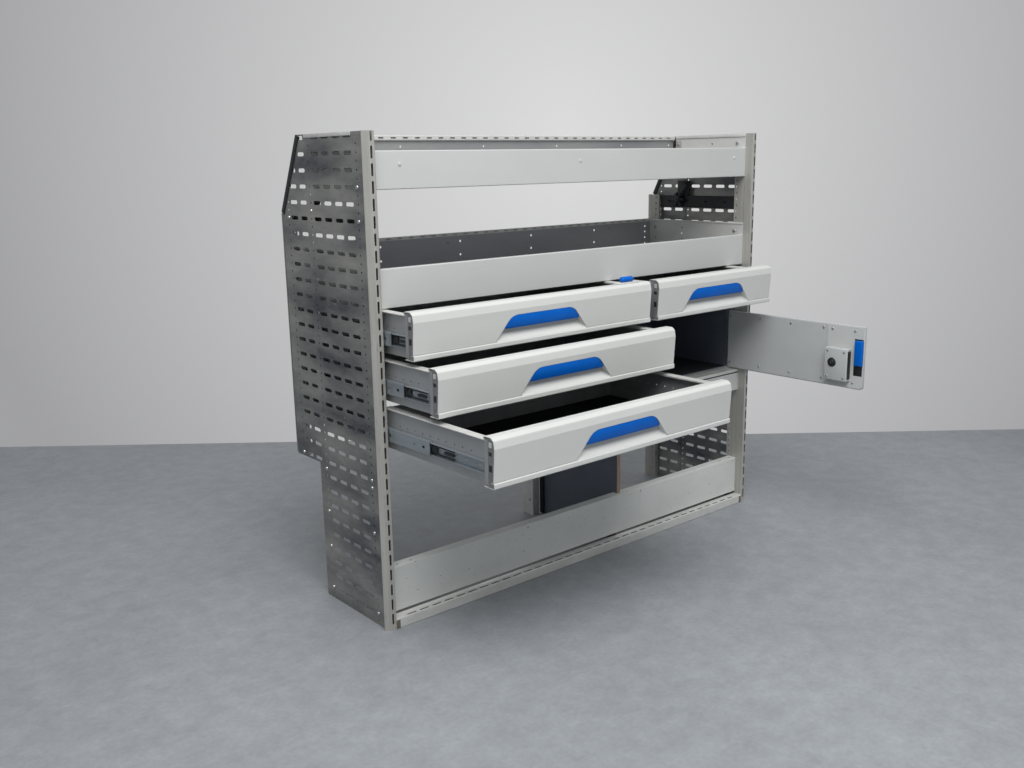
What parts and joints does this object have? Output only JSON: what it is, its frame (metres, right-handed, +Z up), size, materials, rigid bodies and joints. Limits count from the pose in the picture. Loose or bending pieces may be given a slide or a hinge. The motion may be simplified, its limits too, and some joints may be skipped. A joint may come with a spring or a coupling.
{
  "type": "van racking system",
  "caption": "Modular vehicle rack with slotted end frames, open shelf tiers, sliding drawers, a lockable door compartment and open lower bays.",
  "frame": {"origin": "middle of the bottom rail's underside, at half the width and half the rail's depth", "axes": "+X from the left end frame to the right one, +Y from the front to the rear, +Z up"},
  "size_m": [1.767, 1.051, 1.476],
  "materials": {
    "grey_enamel": "satin grey powder coat",
    "galvanised_steel": "mottled zinc coating",
    "light_enamel": "satin light grey powder coat",
    "dark_enamel": "satin dark grey powder coat",
    "black_plastic": "moulded, matt",
    "blue_plastic": "moulded, semi-gloss",
    "zinc_steel": "zinc plated",
    "film_plywood": "dark film faces, raw edges",
    "rubber_mat": "ribbed mat"
  },
  "bodies": {
    "frame": {"bottom_fascia": "light_enamel", "bottom_rail": "zinc_steel", "compartment_box": "dark_enamel", "cross_rail": "galvanised_steel", "door_hinge": "zinc_steel", "left_column_slide_mount_left": "zinc_steel", "left_column_slide_mount_right": "zinc_steel", "left_edge_trim": "black_plastic", "left_front_post": "galvanised_steel", "left_panel_extension": "galvanised_steel", "left_rear_upright": "galvanised_steel", "left_side_band": "black_plastic", "left_side_panel": "galvanised_steel", "mid_divider": "film_plywood", "mid_rear_upright": "galvanised_steel", "right_column_slide_mount_left": "zinc_steel", "right_column_slide_mount_right": "zinc_steel", "right_edge_trim": "black_plastic", "right_front_post": "galvanised_steel", "right_panel_extension": "galvanised_steel", "right_rear_upright": "galvanised_steel", "right_side_band": "black_plastic", "right_side_panel": "galvanised_steel", "second_fascia": "light_enamel", "second_rear_panel": "galvanised_steel", "second_shelf_pan": "galvanised_steel", "second_side_left": "galvanised_steel", "second_side_right": "galvanised_steel", "top_fascia": "light_enamel", "top_shelf_pan": "galvanised_steel", "top_side_left": "galvanised_steel", "top_side_right": "galvanised_steel"},
    "drawer_top_left": {"drawer_top_left_front": "light_enamel", "drawer_top_left_tray": "galvanised_steel", "drawer_top_left_mat": "rubber_mat"},
    "drawer_top_left_flap": {"drawer_top_left_handle_flap": "blue_plastic"},
    "drawer_top_left_middle_slides": {"drawer_top_left_slide_middle_left": "zinc_steel", "drawer_top_left_slide_middle_right": "zinc_steel"},
    "drawer_second": {"drawer_second_front": "light_enamel", "drawer_second_tray": "galvanised_steel", "drawer_second_mat": "rubber_mat"},
    "drawer_second_flap": {"drawer_second_handle_flap": "blue_plastic"},
    "drawer_second_middle_slides": {"drawer_second_slide_middle_left": "zinc_steel", "drawer_second_slide_middle_right": "zinc_steel"},
    "drawer_third": {"drawer_third_front": "light_enamel", "drawer_third_tray": "galvanised_steel", "drawer_third_mat": "rubber_mat"},
    "drawer_third_flap": {"drawer_third_handle_flap": "blue_plastic"},
    "drawer_third_middle_slides": {"drawer_third_slide_middle_left": "zinc_steel", "drawer_third_slide_middle_right": "zinc_steel"},
    "drawer_top_right": {"drawer_top_right_front": "light_enamel", "drawer_top_right_tray": "galvanised_steel", "drawer_top_right_mat": "rubber_mat"},
    "drawer_top_right_flap": {"drawer_top_right_handle_flap": "blue_plastic"},
    "drawer_top_right_middle_slides": {"drawer_top_right_slide_middle_left": "zinc_steel", "drawer_top_right_slide_middle_right": "zinc_steel"},
    "door": {"door_panel": "grey_enamel", "lock_box": "grey_enamel"},
    "lock": {"lock_cylinder": "black_plastic"},
    "latch": {"door_latch": "blue_plastic"}
  },
  "joints": [
    {"name": "drawer_top_left_slide", "type": "slide", "parent": "frame", "child": "drawer_top_left", "axis": [0, -1, 0], "range_m": [-0.136, 0.344]},
    {"name": "drawer_top_left_middle_slide", "type": "slide", "parent": "frame", "child": "drawer_top_left_middle_slides", "axis": [0, -1, 0], "range_m": [-0.068, 0.172]},
    {"name": "drawer_top_left_flap_hinge", "type": "hinge", "parent": "drawer_top_left", "child": "drawer_top_left_flap", "pos_m": [-0.36365, -0.16237, 0.9415], "axis": [-1, 0, 0], "range_deg": [0, 18], "stiffness_Nm_per_rad": 0.4},
    {"name": "drawer_second_slide", "type": "slide", "parent": "frame", "child": "drawer_second", "axis": [0, -1, 0], "range_m": [-0.244, 0.236]},
    {"name": "drawer_second_middle_slide", "type": "slide", "parent": "frame", "child": "drawer_second_middle_slides", "axis": [0, -1, 0], "range_m": [-0.122, 0.118]},
    {"name": "drawer_second_flap_hinge", "type": "hinge", "parent": "drawer_second", "child": "drawer_second_flap", "pos_m": [-0.36365, -0.27037, 0.7987], "axis": [-1, 0, 0], "range_deg": [0, 18], "stiffness_Nm_per_rad": 0.4},
    {"name": "drawer_third_slide", "type": "slide", "parent": "frame", "child": "drawer_third", "axis": [0, -1, 0], "range_m": [-0.477, 0.003]},
    {"name": "drawer_third_middle_slide", "type": "slide", "parent": "frame", "child": "drawer_third_middle_slides", "axis": [0, -1, 0], "range_m": [-0.2385, 0.0015]},
    {"name": "drawer_third_flap_hinge", "type": "hinge", "parent": "drawer_third", "child": "drawer_third_flap", "pos_m": [-0.36365, -0.50337, 0.6559], "axis": [-1, 0, 0], "range_deg": [0, 18], "stiffness_Nm_per_rad": 0.4},
    {"name": "drawer_top_right_slide", "type": "slide", "parent": "frame", "child": "drawer_top_right", "axis": [0, -1, 0], "range_m": [-0.136, 0.344]},
    {"name": "drawer_top_right_middle_slide", "type": "slide", "parent": "frame", "child": "drawer_top_right_middle_slides", "axis": [0, -1, 0], "range_m": [-0.068, 0.172]},
    {"name": "drawer_top_right_flap_hinge", "type": "hinge", "parent": "drawer_top_right", "child": "drawer_top_right_flap", "pos_m": [0.47115, -0.16237, 0.9415], "axis": [-1, 0, 0], "range_deg": [0, 18], "stiffness_Nm_per_rad": 0.4},
    {"name": "door_swing", "type": "hinge", "parent": "frame", "child": "door", "pos_m": [0.8435, 0.0645, 0.676], "axis": [0, 0, 1], "range_deg": [-90, 0]},
    {"name": "lock_turn", "type": "hinge", "parent": "door", "child": "lock", "pos_m": [0.8009, -0.4275, 0.65404], "axis": [-1, 0, 0], "range_deg": [0, 90]},
    {"name": "latch_slide", "type": "slide", "parent": "door", "child": "latch", "axis": [0, 1, 0], "range_m": [0, 0.01], "stiffness_N_per_m": 300}
  ],
  "couplings": [
    {"joint": "drawer_top_left_middle_slide", "follows": "drawer_top_left_slide", "ratio": 0.5},
    {"joint": "drawer_second_middle_slide", "follows": "drawer_second_slide", "ratio": 0.5},
    {"joint": "drawer_third_middle_slide", "follows": "drawer_third_slide", "ratio": 0.5},
    {"joint": "drawer_top_right_middle_slide", "follows": "drawer_top_right_slide", "ratio": 0.5}
  ]
}
